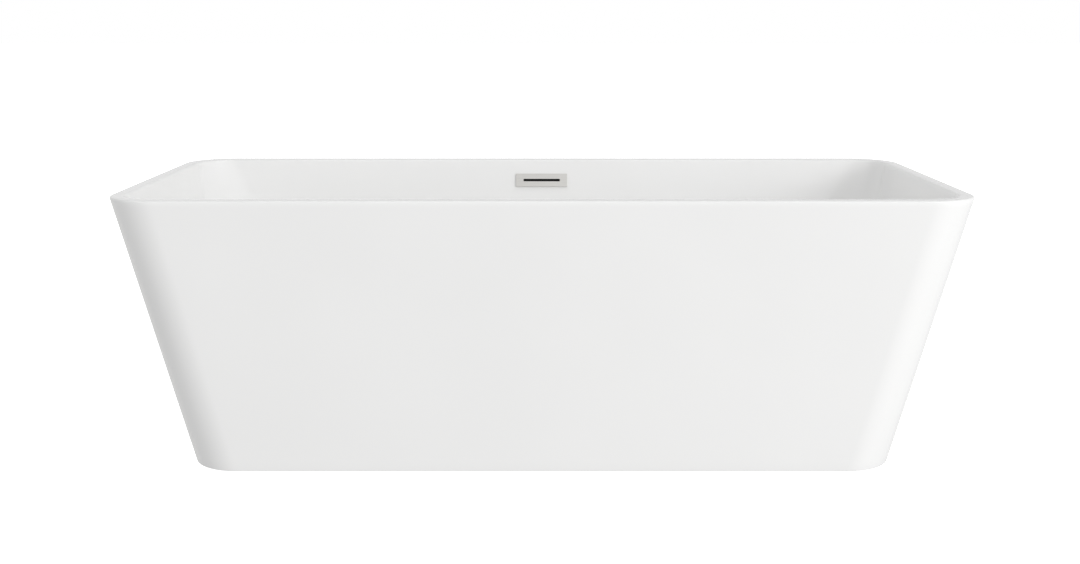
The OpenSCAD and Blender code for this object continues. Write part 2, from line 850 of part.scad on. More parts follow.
module plug_sleeve() {
    color("silver") translate([0, 0, sleeve_bottom]) difference() {
        cylinder(r = sleeve_radius, h = cap_z - sleeve_bottom - slip);
        translate([0, 0, -over])
            cylinder(r = sleeve_bore, h = cap_z - sleeve_bottom - cap_roof + over);
    }
}

module plug_cap() {
    r = plug_radius;
    color("silver") translate([0, 0, cap_z]) rotate_extrude()
        polygon([[0, 0], [r - 2.5, 0], [r - 0.4, 0.5], [r, 1.2], [r - 0.2, 2.0],
                 [r - 1, 2.7], [r - 3, 3.3], [r * 0.7, 3.9], [r * 0.4, 4.3], [0, 4.5]]);
}

module plug_seal() {
    color("dimgray") translate([0, 0, cap_z - seal_thick])
        tube(seat_radius - 1.5, sleeve_radius + 8, seal_thick - slip);
}

// ---- Assembly ----------------------------------------------------------------------

basin();
basin_backing();
apron();
apron_backing();
rim_adhesive();
seam_filler();
base_board();
frame_rails();
frame_crossbars();
rail_end_caps();
board_screws();
skirt_brackets();
bracket_screws();
foot_weld_nuts();
foot_lock_nuts();
foot_stud(0);  // foot_stud_1
foot_stud(1);  // foot_stud_2
foot_stud(2);  // foot_stud_3
foot_stud(3);  // foot_stud_4
foot_stud(4);  // foot_stud_5
foot_pad(0);  // foot_pad_1
foot_pad(1);  // foot_pad_2
foot_pad(2);  // foot_pad_3
foot_pad(3);  // foot_pad_4
foot_pad(4);  // foot_pad_5
overflow_cover();
overflow_frame();
overflow_gasket();
overflow_body();
overflow_screws();
overflow_hose();
hose_clamps();
drain_flange();
flange_seal();
drain_gasket();
waste_body();
tailpiece();
tailpiece_washer();
tailpiece_nut();
plug_post();
plug_spring();
plug_sleeve();
plug_cap();
plug_seal();
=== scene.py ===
"""A freestanding bathtub: the looks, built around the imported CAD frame. All sizes are in metres."""

import json
import math

import bmesh
import bpy
from mathutils import Matrix, Vector


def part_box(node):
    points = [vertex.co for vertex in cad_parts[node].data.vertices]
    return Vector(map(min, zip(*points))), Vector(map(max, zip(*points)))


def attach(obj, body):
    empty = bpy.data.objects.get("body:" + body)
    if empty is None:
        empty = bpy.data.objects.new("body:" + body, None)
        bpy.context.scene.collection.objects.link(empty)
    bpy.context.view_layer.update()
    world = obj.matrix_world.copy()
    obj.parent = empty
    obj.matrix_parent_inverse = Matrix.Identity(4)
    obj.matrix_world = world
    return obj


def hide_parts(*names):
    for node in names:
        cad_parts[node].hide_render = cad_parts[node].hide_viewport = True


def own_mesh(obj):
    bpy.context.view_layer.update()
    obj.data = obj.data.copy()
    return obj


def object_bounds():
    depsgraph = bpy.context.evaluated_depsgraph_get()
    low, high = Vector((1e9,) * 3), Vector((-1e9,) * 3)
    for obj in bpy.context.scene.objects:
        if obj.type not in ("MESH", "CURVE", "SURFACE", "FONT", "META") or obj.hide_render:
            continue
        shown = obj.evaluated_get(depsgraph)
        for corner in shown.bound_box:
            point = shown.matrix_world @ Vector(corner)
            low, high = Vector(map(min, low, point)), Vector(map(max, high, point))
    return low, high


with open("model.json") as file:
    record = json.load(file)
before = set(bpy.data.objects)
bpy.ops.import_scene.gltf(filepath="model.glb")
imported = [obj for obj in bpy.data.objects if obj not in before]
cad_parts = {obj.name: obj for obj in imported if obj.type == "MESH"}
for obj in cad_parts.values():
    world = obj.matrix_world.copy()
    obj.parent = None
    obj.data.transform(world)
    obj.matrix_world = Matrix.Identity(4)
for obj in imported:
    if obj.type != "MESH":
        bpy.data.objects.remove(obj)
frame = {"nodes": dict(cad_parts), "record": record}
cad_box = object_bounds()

# ---- Sizes shared with the CAD ----------------------------------------------------------

# The outer skin, its rim and lip, and the flange below them. Depths are below the rim's top
HALF_X, HALF_Y, TOP = cad_box[1]
SKIRT_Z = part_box("apron")[0].z
BASE_HALF_X = 0.734
BASE_HALF_Y = 0.278
CORNER = 0.105
RIM = 0.030
OUTER_ROUND = 0.004
INNER_ROUND = 0.006
LIP = 0.014
SEAM = 0.0005
FLANGE_TOP = 0.008
BASIN_WALL = 0.005
APRON_WALL = 0.004
FLANGE_INSET = BASIN_WALL + 0.0004
RIM_UNDER = BASIN_WALL + 0.0005
END_TAPER = (HALF_X - BASE_HALF_X) / (TOP - OUTER_ROUND)
SIDE_TAPER = (HALF_Y - BASE_HALF_Y) / (TOP - OUTER_ROUND)

# The basin's walls lean in with depth d by slope * d + curve * d * d, down to the floor's radius
INNER_DEPTH = 0.438
FLOOR_RADIUS = 0.080
INNER_CORNER = 0.075
CORNER_GROWTH = 0.33
END_SLOPE, END_CURVE = 0.20, 0.75
SIDE_SLOPE, SIDE_CURVE = 0.28, 0.10

# The waste: the flat ring round it, its recess and the hole below
FLANGE_LOW, FLANGE_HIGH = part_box("drain_flange")
DRAIN_Z = FLANGE_HIGH.z
DRAIN_RING = 0.060
BASIN_UNDER_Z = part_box("basin")[0].z
RECESS_RADIUS = 0.036
RECESS_DEPTH = 0.004
RECESS_EDGE = 0.001
NECK_HOLE = 0.0255
FLOOR_EDGE_Z = TOP - INNER_DEPTH

# The overflow: its depth, half its port across and straight down, its cover and slot
OVERFLOW_DEPTH = 0.0495
PORT_HALF_X = 0.050
PORT_HALF_DEPTH = 0.0106
COVER_SIZE = (0.125, 0.032)
SLOT_SIZE = (0.088, 0.0058)
PORT_TOP, PORT_LOW = OVERFLOW_DEPTH - PORT_HALF_DEPTH, OVERFLOW_DEPTH + PORT_HALF_DEPTH

# The glass fibre behind both skins, and the hair's breadth between parts that fit together
BOND = 0.0002
FIT = 0.00005
LAMINATE = 0.003
LAMINATE_GAP = BASIN_WALL + BOND
LAMINATE_HOLE = 0.026

# The two spigots, and the hose's route between them as (y, z) in the plane x = 0
SPIGOT_REACH = 0.0128
SPIGOT_TOP, SPIGOT_END = -0.084, -0.122
HOSE_PORT_Y, PORT_Z = 0.036, 0.064
HOSE_ROUTE = [
    (0.327, 0.352), (0.314, 0.300), (0.300, 0.250), (0.285, 0.200), (0.268, 0.150),
    (0.246, 0.110), (0.212, 0.078), (0.165, 0.064), (0.110, 0.064), (0.060, PORT_Z),
    (HOSE_PORT_Y, PORT_Z), (0, PORT_Z),
]
HOSE_RADIUS, HOSE_VALLEY, HOSE_BORE = 0.0118, 0.0104, 0.0093
# A ring of points every millimetre, a ridge every fifth ring, and the bore with fewer rings
HOSE_STEP = 0.001
HOSE_RIDGE = 5
HOSE_BORE_STEP = 5
HOSE_POINTS = 24
CUFF = 0.012
CLAMP_WIDTH = 0.009

# The feet's M12 thread, hexagons and bores
HEX_FLATS = 0.019
STUD_RADIUS = 0.006
COLLAR = 0.008
PITCH = 0.00175
THREAD_DEPTH = 0.0009
STUD_BORE = 0.00605

# Points on each ring: steps round a corner, and along the long and short sides
ARC_STEPS = 24
PORT_STEPS = 4
LONG_STEPS = 9
SHORT_STEPS = 12
SMALL_ARC_STEPS = 6


def steps(start, end, count):
    """count + 1 evenly spaced values."""
    return [start + (end - start) * i / count for i in range(count + 1)]


PORT_DEPTHS = steps(PORT_TOP, PORT_LOW, 4)

# ---- Meshes -----------------------------------------------------------------------------

# Points closer than this are one point, and a radius below this is on the axis
WELD = 1e-7
ON_AXIS = 1e-9


class Shape:
    """Vertices and faces gathered from several solids."""

    def __init__(self):
        self.verts = []
        self.faces = []

    def add(self, rings, looped=False, place=None):
        """Skins rings of points. A looped skin joins last ring to first; others get caps."""
        start, size, count = len(self.verts), len(rings[0]), len(rings)
        place = place or Matrix.Identity(4)
        self.verts += [place @ Vector(p) for ring in rings for p in ring]
        for j in range(count if looped else count - 1):
            a, b = start + j * size, start + (j + 1) % count * size
            self.faces += [
                (a + i, b + i, b + (i + 1) % size, a + (i + 1) % size) for i in range(size)
            ]
        if not looped:
            final = start + (count - 1) * size
            self.faces.append(tuple(range(start, start + size)))
            self.faces.append(tuple(reversed(range(final, final + size))))
        return self

    def lathe(self, profile, segments, place=None):
        """Turns a closed (radius, height) outline about Z."""
        rings = [circle(r, z, segments) for r, z in profile]
        solid = profile[0][0] < ON_AXIS and profile[-1][0] < ON_AXIS
        return self.add(rings, looped=not solid, place=place)


def piece(name, shape, look, body, nodes, sharp=32.0):
    """A smooth mesh, creased at angles over `sharp` degrees, that replaces CAD nodes."""
    mesh = bpy.data.meshes.new(name)
    mesh.from_pydata(shape.verts, [], shape.faces)
    bm = bmesh.new()
    bm.from_mesh(mesh)
    bmesh.ops.remove_doubles(bm, verts=bm.verts, dist=WELD)
    bmesh.ops.dissolve_degenerate(bm, edges=bm.edges, dist=WELD)
    bmesh.ops.recalc_face_normals(bm, faces=bm.faces)
    for face in bm.faces:
        face.smooth = True
    for edge in bm.edges:
        edge.smooth = edge.calc_face_angle(0.0) < math.radians(sharp)
    bm.to_mesh(mesh)
    bm.free()
    mesh.materials.append(look)
    obj = bpy.data.objects.new(name, mesh)
    bpy.context.scene.collection.objects.link(obj)
    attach(obj, body)
    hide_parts(*nodes)
    return obj


def circle(r, z, segments):
    """A circle about Z."""
    return [
        (r * math.cos(2 * math.pi * i / segments), r * math.sin(2 * math.pi * i / segments), z)
        for i in range(segments)
    ]


def eased(outline, ease, closed=True):
    """Rounds the corners of an outline of (radius, height) points."""
    most, arc = 0.45, 3
    points = []
    for i, corner in enumerate(outline):
        here = Vector(corner)
        if not closed and i in (0, len(outline) - 1):
            points.append(here)
            continue
        before = Vector(outline[i - 1]) - here
        after = Vector(outline[(i + 1) % len(outline)]) - here
        a = here + before.normalized() * min(ease, most * before.length)
        b = here + after.normalized() * min(ease, most * after.length)
        points += [(1 - t) ** 2 * a + 2 * t * (1 - t) * here + t * t * b for t in steps(0, 1, arc)]
    return points


def hex_rings(flats, low, high, segments):
    """A hexagonal bar with its corners turned off at both ends."""
    tilt = math.radians(30)
    start, slope = 0.475 * flats, math.tan(tilt)
    corner = flats / 2 / math.cos(tilt)
    rises = steps(0, (corner - start) * slope, 4)
    levels = [(e, low + e) for e in rises] + [(e, high - e) for e in reversed(rises)]
    rings = []
    for e, z in levels:
        ring = []
        for i in range(segments):
            a = 2 * math.pi * i / segments
            side = flats / 2 / math.cos(a % (math.pi / 3) - math.pi / 6)
            r = min(side, start + e / slope)
            ring.append((r * math.cos(a), r * math.sin(a), z))
        rings.append(ring)
    return rings


def thread_rings(radius, low, high, pitch, depth):
    """A right-hand thread along Z, with its two ends turned down."""
    segments, count = 24, max(4, round(4 * (high - low) / pitch))
    end = radius - 1.2 * depth
    rings = [circle(end, low, segments)]
    for z in steps(low + depth / 2, high - depth / 2, count):
        ring = []
        for i in range(segments):
            share = i / segments
            wave = abs(2 * ((z / pitch - share) % 1) - 1)
            r = radius - depth * wave
            ring.append((r * math.cos(2 * math.pi * share), r * math.sin(2 * math.pi * share), z))
        rings.append(ring)
    rings.append(circle(end, high, segments))
    return rings


def side_points(reach, port, count):
    """Places along a straight side from +reach to -reach, with columns at the port's two edges."""
    edge = min(port, 0.4 * reach)
    return (
        steps(reach, edge, count)[1:]
        + steps(edge, -edge, PORT_STEPS)[1:]
        + steps(-edge, -reach, count)[1:-1]
    )


def corner_points(corner, hx, hy, r, z, arc):
    """A rectangle's rounded corner. Corner 0 is at +X +Y, and the others follow it round Z."""
    sx = 1 if corner in (0, 3) else -1
    sy = 1 if corner < 2 else -1
    points = []
    for i in range(arc + 1):
        a = math.radians(90 * (corner + i / arc))
        points.append((sx * (hx - r) + r * math.cos(a), sy * (hy - r) + r * math.sin(a), z))
    return points


def rounded_ring(hx, hy, r, z):
    """A rounded rectangle at height z, counter-clockwise, with the same point count at any size."""
    points = []
    for corner in range(4):
        points += corner_points(corner, hx, hy, r, z, ARC_STEPS)
        way = 1 if corner in (0, 3) else -1
        if corner in (0, 2):
            along = side_points(hx - r, PORT_HALF_X, LONG_STEPS)
            points += [(way * x, way * hy, z) for x in along]
        else:
            along = steps(-(hy - r), hy - r, SHORT_STEPS)[1:-1]
            points += [(way * hx, way * y, z) for y in along]
    return points


def small_ring(hx, hy, r, z):
    """A rounded rectangle with few points, for small plates and tubes."""
    points = []
    for corner in range(4):
        points += corner_points(corner, hx, hy, r, z, SMALL_ARC_STEPS)
    return points


# ---- Shell profiles, as in the CAD ------------------------------------------------------


def apron_ring(d, inset):
    """The outer skin at depth d, moved inwards."""
    drop = max(d - OUTER_ROUND, 0)
    hx, hy = HALF_X - END_TAPER * drop, HALF_Y - SIDE_TAPER * drop
    return rounded_ring(hx - inset, hy - inset, CORNER - inset, TOP - d)


def wall_x(d):
    """Half the basin's length at depth d."""
    return HALF_X - RIM - END_SLOPE * d - END_CURVE * d * d


def wall_y(d):
    """Half the basin's width at depth d."""
    return HALF_Y - RIM - SIDE_SLOPE * d - SIDE_CURVE * d * d


def wall_ring(d, out):
    """The basin's inner wall at depth d, moved outwards."""
    return rounded_ring(
        wall_x(d) + out, wall_y(d) + out, INNER_CORNER + CORNER_GROWTH * d + out, TOP - d
    )


def floor_ring(angle, out):
    """The curve from wall to floor, moved outwards: 0 degrees on the wall, 90 on the floor."""
    a = math.radians(angle)
    d = INNER_DEPTH - FLOOR_RADIUS * (1 - math.sin(a))
    back = FLOOR_RADIUS * (1 - math.cos(a)) - out * math.cos(a)
    r = INNER_CORNER + CORNER_GROWTH * d - back
    return rounded_ring(wall_x(d) - back, wall_y(d) - back, r, TOP - d - out * math.sin(a))


def bed_ring(s, edge_z, centre_z):
    """The floor, from its edge at s = 0 to the circle round the waste at s = 1."""
    d = INNER_DEPTH
    hx, hy = wall_x(d) - FLOOR_RADIUS, wall_y(d) - FLOOR_RADIUS
    edge = rounded_ring(hx, hy, INNER_CORNER + CORNER_GROWTH * d - FLOOR_RADIUS, 0)
    z = edge_z + s * (centre_z - edge_z)
    points = []
    for x, y, _ in edge:
        a = math.atan2(y * hx / hy, x)
        points.append(
            (x + s * (DRAIN_RING * math.cos(a) - x), y + s * (DRAIN_RING * math.sin(a) - y), z)
        )
    return points


def drain_circle(r, z):
    """A circle with the same points as the ring round the waste."""
    scale = r / DRAIN_RING
    return [(x * scale, y * scale, z) for x, y, _ in bed_ring(1, 0, 0)]


# The overflow sits on a chord of the wall between these two depths
CHORD_TOP, CHORD_LOW = 0.025, 0.080
WALL_TILT = math.atan((wall_y(CHORD_TOP) - wall_y(CHORD_LOW)) / (CHORD_LOW - CHORD_TOP))
OVERFLOW_Y = wall_y(CHORD_TOP) - (OVERFLOW_DEPTH - CHORD_TOP) * math.tan(WALL_TILT)
OVERFLOW_AT = Vector((0, OVERFLOW_Y, TOP - OVERFLOW_DEPTH))
# Local Z runs up the wall and local Y out through it
OVERFLOW = Matrix.Translation(OVERFLOW_AT) @ Matrix.Rotation(-WALL_TILT, 4, "X")
SPIGOT_OUT = (BASIN_WALL + BOND + LAMINATE) * math.cos(WALL_TILT) + SPIGOT_REACH
# Turns a shape drawn in XY, with its face towards +Z, to face into the basin
TO_WALL = OVERFLOW @ Matrix.Rotation(math.radians(90), 4, "X")

# ---- Materials --------------------------------------------------------------------------


class Look:
    """A Principled material with its texture nodes."""

    def __init__(self, name, **sockets):
        self.material = bpy.data.materials.new(name)
        self.material.use_nodes = True
        self.tree = self.material.node_tree
        self.shader = self.tree.nodes["Principled BSDF"]
        self.coord = self.tree.nodes.new("ShaderNodeTexCoord")
        for key, value in sockets.items():
            self.shader.inputs[key.replace("_", " ")].default_value = value

    def link(self, a, b):
        self.tree.links.new(a, b)

    def stretched(self, scale):
        """Object coordinates, scaled along each axis."""
        node = self.tree.nodes.new("ShaderNodeMapping")
        node.inputs["Scale"].default_value = scale
        self.link(self.coord.outputs["Object"], node.inputs["Vector"])
        return node.outputs["Vector"]

    def noise(self, scale, detail, vector=None, rough=0.5):
        node = self.tree.nodes.new("ShaderNodeTexNoise")
        node.inputs["Scale"].default_value = scale
        node.inputs["Detail"].default_value = detail
        node.inputs["Roughness"].default_value = rough
        self.link(vector or self.coord.outputs["Object"], node.inputs["Vector"])
        return node.outputs["Fac"]

    def cells(self, scale, vector=None):
        node = self.tree.nodes.new("ShaderNodeTexVoronoi")
        node.inputs["Scale"].default_value = scale
        self.link(vector or self.coord.outputs["Object"], node.inputs["Vector"])
        return node.outputs["Distance"]

    def ramp(self, factor, stops):
        node = self.tree.nodes.new("ShaderNodeValToRGB")
        for i, (place, colour) in enumerate(stops):
            stop = node.color_ramp.elements[i] if i < 2 else node.color_ramp.elements.new(place)
            stop.position = place
            stop.color = (*colour, 1)
        self.link(factor, node.inputs["Fac"])
        return node.outputs["Color"]

    def colour(self, factor, stops):
        self.link(self.ramp(factor, stops), self.shader.inputs["Base Color"])
        return self

    def roughness(self, factor, low, high):
        node = self.tree.nodes.new("ShaderNodeMapRange")
        node.inputs["To Min"].default_value = low
        node.inputs["To Max"].default_value = high
        self.link(factor, node.inputs["Value"])
        self.link(node.outputs["Result"], self.shader.inputs["Roughness"])
        return self

    def bump(self, factor, strength, distance):
        node = self.tree.nodes.new("ShaderNodeBump")
        node.inputs["Strength"].default_value = strength
        node.inputs["Distance"].default_value = distance
        self.link(factor, node.inputs["Height"])
        self.link(node.outputs["Normal"], self.shader.inputs["Normal"])
        return self


def acrylic_look():
    look = Look("white_acrylic", IOR=1.49)
    look.colour(look.noise(2.5, 3), [(0.3, (0.89, 0.89, 0.885)), (0.7, (0.91, 0.91, 0.905))])
    look.roughness(look.noise(6, 5), 0.11, 0.17)
    return look.bump(look.noise(160, 2), 0.05, 0.0002).material


def nickel_look(name, streaks):
    look = Look(name, Metallic=1.0)
    grain = look.noise(1, 6, look.stretched(streaks), 0.65)
    look.colour(grain, [(0.3, (0.66, 0.65, 0.625)), (0.7, (0.77, 0.76, 0.735))])
    look.roughness(grain, 0.26, 0.42)
    return look.bump(grain, 0.12, 0.0001).material


def steel_look(name, low, high, rough):
    look = Look(name, Metallic=1.0)
    spangle = look.cells(260)
    look.colour(spangle, [(0.1, low), (0.8, high)])
    look.roughness(look.noise(90, 5), rough, rough + 0.18)
    return look.bump(look.noise(700, 3), 0.15, 0.0002).material


def powder_coat_look():
    look = Look("grey_powder_coat", Coat_Weight=0.1)
    look.colour(look.noise(14, 5), [(0.3, (0.29, 0.30, 0.31)), (0.75, (0.34, 0.35, 0.36))])
    look.roughness(look.noise(60, 4), 0.42, 0.58)
    return look.bump(look.noise(1400, 3), 0.35, 0.0002).material


def plastic_look(name, low, high, rough):
    look = Look(name, IOR=1.49)
    look.colour(look.noise(25, 5), [(0.3, low), (0.7, high)])
    look.roughness(look.noise(180, 4), rough, rough + 0.15)
    return look.bump(look.noise(1500, 2), 0.25, 0.0001).material


def rubber_look():
    look = Look("black_rubber", IOR=1.5)
    look.colour(look.noise(40, 6), [(0.3, (0.014, 0.014, 0.015)), (0.75, (0.035, 0.034, 0.033))])
    look.roughness(look.noise(120, 5), 0.62, 0.85)
    return look.bump(look.noise(1800, 3), 0.4, 0.0002).material


def glass_fibre_look():
    look = Look("glass_fibre", IOR=1.52)
    strands = look.cells(75, look.stretched((1, 1, 2.6)))
    look.colour(strands, [(0.05, (0.40, 0.35, 0.22)), (0.55, (0.60, 0.54, 0.38))])
    look.roughness(strands, 0.35, 0.7)
    return look.bump(strands, 0.6, 0.002).material


def board_look():
    look = Look("particle_board")
    chips = look.cells(190, look.stretched((1, 1.6, 1.3)))
    look.colour(chips, [
        (0.05, (0.30, 0.19, 0.10)), (0.35, (0.47, 0.33, 0.18)), (0.8, (0.62, 0.47, 0.29)),
    ])
    look.roughness(chips, 0.7, 0.9)
    return look.bump(chips, 0.5, 0.0008).material


def brass_look():
    look = Look("turned_brass", Metallic=1.0)
    turned = look.noise(1, 4, look.stretched((6, 6, 1500)), 0.6)
    look.colour(turned, [(0.3, (0.58, 0.42, 0.16)), (0.7, (0.72, 0.54, 0.23))])
    look.roughness(turned, 0.22, 0.38)
    return look.bump(turned, 0.15, 0.0001).material


ACRYLIC = acrylic_look()
NICKEL = nickel_look("brushed_nickel", (30, 2500, 2500))
TURNED_NICKEL = nickel_look("turned_nickel", (900, 900, 900))
ZINC = steel_look("zinc_plate", (0.50, 0.51, 0.53), (0.66, 0.67, 0.69), 0.28)
POWDER = powder_coat_look()
BLACK_PLASTIC = plastic_look("black_plastic", (0.018, 0.018, 0.019), (0.03, 0.03, 0.032), 0.35)
HOSE_PLASTIC = plastic_look("hose_plastic", (0.66, 0.66, 0.64), (0.72, 0.72, 0.70), 0.4)
ADHESIVE = plastic_look("cured_adhesive", (0.55, 0.55, 0.53), (0.68, 0.68, 0.66), 0.5)
RUBBER = rubber_look()
GLASS_FIBRE = glass_fibre_look()
BOARD = board_look()
BRASS = brass_look()

SLOT_LOOKS = {
    "acrylic_white": ACRYLIC,
    "glass_fibre": GLASS_FIBRE,
    "adhesive": ADHESIVE,
    "board_wood": BOARD,
    "frame_steel": POWDER,
    "zinc_steel": ZINC,
    "black_rubber": RUBBER,
    "brushed_nickel": TURNED_NICKEL,
    "waste_plastic": BLACK_PLASTIC,
    "hose_plastic": HOSE_PLASTIC,
    "brass": BRASS,
}

# ---- Camera, floor and light ------------------------------------------------------------

# Metres, radians below level, and millimetres
CAMERA_AT = (-0.004, -3.040, 0.931)
CAMERA_DIP = 0.190
CAMERA_LENS, CAMERA_SENSOR = 46.6, 36
# The surroundings' light: the way it comes from, how narrow it is, and its strength
WORLD = (
    ((1, 0, 0), 1, 0.33),
    ((-1, 0, 0), 1, 0.46),
    ((0, 1, 0), 1, 0.72),
    ((0, -1, 0), 1, 0.47),
    ((0.707, -0.707, 0), 2, 0.94),
)
FLOOR_GLOW = 0.8
FLOOR_REACH = 40
LIGHTS_AIM = (0, 0, 0.35)
# Soft boxes: place, size in metres and power in watts
LIGHTS = {
    "key": ((3.6, -4.0, 1.95), 1.6, 43),
    "side": ((4.0, -2.5, 1.2), 2.4, 15),
    "fill": ((-2.6, -0.8, 3.0), 2.4, 7),
    "top": ((0, 0, 3.6), 2.4, 22),
}


def camera():
    """Stands in front of the long side, a little above the rim, and looks slightly down."""
    data = bpy.data.cameras.new("camera")
    data.sensor_width = CAMERA_SENSOR
    data.lens = CAMERA_LENS
    obj = bpy.data.objects.new("camera", data)
    obj.location = CAMERA_AT
    obj.rotation_euler = (math.pi / 2 - CAMERA_DIP, 0, 0)
    bpy.context.scene.collection.objects.link(obj)
    bpy.context.scene.camera = obj


def floor():
    """Pale and evenly lit. It takes no part in lighting the bath: the surroundings do that."""
    mesh = bpy.data.meshes.new("floor")
    reach = FLOOR_REACH
    corners = [(-reach, -reach, 0), (reach, -reach, 0), (reach, reach, 0), (-reach, reach, 0)]
    mesh.from_pydata(corners, [], [(0, 1, 2, 3)])
    look = Look("pale_floor", Roughness=0.9, Specular_IOR_Level=0.1, Emission_Strength=FLOOR_GLOW)
    look.shader.inputs["Emission Color"].default_value = (1, 1, 1, 1)
    look.colour(look.noise(0.8, 2), [(0.3, (0.93, 0.93, 0.93)), (0.7, (0.95, 0.95, 0.95))])
    # Clear from below, so that the underside shows
    side = look.tree.nodes.new("ShaderNodeNewGeometry")
    clear = look.tree.nodes.new("ShaderNodeBsdfTransparent")
    mix = look.tree.nodes.new("ShaderNodeMixShader")
    look.link(side.outputs["Backfacing"], mix.inputs["Fac"])
    look.link(look.shader.outputs["BSDF"], mix.inputs[1])
    look.link(clear.outputs["BSDF"], mix.inputs[2])
    look.link(mix.outputs["Shader"], look.tree.nodes["Material Output"].inputs["Surface"])
    mesh.materials.append(look.material)
    obj = bpy.data.objects.new("floor", mesh)
    obj.visible_diffuse = False
    obj.visible_glossy = False
    obj.visible_shadow = False
    bpy.context.scene.collection.objects.link(obj)


def area_light(name, place, size, power):
    """A square soft box that faces the bath."""
    data = bpy.data.lights.new(name, "AREA")
    data.shape = "SQUARE"
    data.size = size
    data.energy = power
    obj = bpy.data.objects.new(name, data)
    obj.location = place
    obj.rotation_mode = "QUATERNION"
    obj.rotation_quaternion = (Vector(LIGHTS_AIM) - Vector(place)).to_track_quat("-Z", "Y")
    bpy.context.scene.collection.objects.link(obj)


def studio():
    """A white studio whose soft light differs with the direction it comes from."""
    world = bpy.data.worlds.new("studio")
    world.use_nodes = True
    tree = world.node_tree
    around = tree.nodes["Background"]
    behind = tree.nodes.new("ShaderNodeBackground")
    coord = tree.nodes.new("ShaderNodeTexCoord")
    total = None
    for towards, sharpness, strength in WORLD:
        facing = tree.nodes.new("ShaderNodeVectorMath")
        facing.operation = "DOT_PRODUCT"
        facing.inputs[1].default_value = towards
        tree.links.new(coord.outputs["Generated"], facing.inputs[0])
        lobe = facing.outputs["Value"]
        for operation, value in (("MAXIMUM", 0), ("POWER", sharpness), ("MULTIPLY", strength)):
            step = tree.nodes.new("ShaderNodeMath")
            step.operation = operation
            step.inputs[1].default_value = value
            tree.links.new(lobe, step.inputs[0])
            lobe = step.outputs["Value"]
        if total:
            add = tree.nodes.new("ShaderNodeMath")
            tree.links.new(total, add.inputs[0])
            tree.links.new(lobe, add.inputs[1])
            lobe = add.outputs["Value"]
        total = lobe
    seen = tree.nodes.new("ShaderNodeLightPath")
    mix = tree.nodes.new("ShaderNodeMixShader")
    tree.links.new(total, around.inputs["Strength"])
    tree.links.new(seen.outputs["Is Camera Ray"], mix.inputs["Fac"])
    tree.links.new(around.outputs["Background"], mix.inputs[1])
    tree.links.new(behind.outputs["Background"], mix.inputs[2])
    tree.links.new(mix.outputs["Shader"], tree.nodes["World Output"].inputs["Surface"])
    for node in (around, behind):
        node.inputs["Color"].default_value = (1, 1, 1, 1)
    bpy.context.scene.world = world
    for name, (place, size, power) in LIGHTS.items():
        area_light(name, place, size, power)
    bpy.context.scene.view_settings.view_transform = "Standard"


# ---- Basin and apron --------------------------------------------------------------------


def basin():
    """One closed skin: underside, lip, rim, inner walls, floor and waste recess."""
    # Rings down the walls, round the curve at their foot, and across the floor to the waste
    depths = steps(0.010, 0.0335, 4) + PORT_DEPTHS + steps(0.070, 0.350, 24)
    angles = steps(0, 90, 14)
    shares = [0.08, 0.2, 0.35, 0.5, 0.65, 0.8, 0.9]
    quarter = steps(0, math.pi / 2, 8)
    boss = 0.040
    out = BASIN_WALL
    port_drop = out * math.sin(WALL_TILT) * math.cos(WALL_TILT)
    edge_under = FLOOR_EDGE_Z - out
    outer_depths = [d + port_drop for d in depths]
    rings = [drain_circle(NECK_HOLE, BASIN_UNDER_Z), drain_circle(boss, BASIN_UNDER_Z)]
    rings += [bed_ring(s, edge_under, BASIN_UNDER_Z) for s in reversed(shares)]
    rings += [floor_ring(a, out) for a in reversed(angles[1:])]
    rings += [wall_ring(d, out) for d in reversed(outer_depths)]
    outer_first = len(rings) - len(depths)
    rings += [wall_ring(RIM_UNDER, out), apron_ring(RIM_UNDER, out), apron_ring(LIP, out)]
    rings += [apron_ring(LIP, 0)]
    for a in quarter:
        rings.append(apron_ring(OUTER_ROUND * (1 - math.sin(a)), OUTER_ROUND * (1 - math.cos(a))))
    for a in reversed(quarter):
        rings.append(wall_ring(INNER_ROUND * (1 - math.sin(a)), INNER_ROUND * (1 - math.cos(a))))
    inner_first = len(rings)
    rings += [wall_ring(d, 0) for d in depths]
    rings += [floor_ring(a, 0) for a in angles[1:]]
    rings += [bed_ring(s, FLOOR_EDGE_Z, DRAIN_Z) for s in shares]
    rings += [drain_circle(DRAIN_RING, DRAIN_Z), drain_circle(RECESS_RADIUS + 0.003, DRAIN_Z)]
    for a in quarter[::2]:
        wider, down = RECESS_EDGE * (1 - math.sin(a)), RECESS_EDGE * (1 - math.cos(a))
        rings.append(drain_circle(RECESS_RADIUS + wider, DRAIN_Z - down))
    rings += [drain_circle(RECESS_RADIUS, DRAIN_Z - RECESS_DEPTH)]
    rings += [drain_circle(NECK_HOLE, DRAIN_Z - RECESS_DEPTH)]
    shape = Shape().add(rings, looped=True)
    cut_port(shape, len(rings[0]), depths, inner_first, outer_first)
    piece("basin_shell", shape, ACRYLIC, "tub", ["basin"])


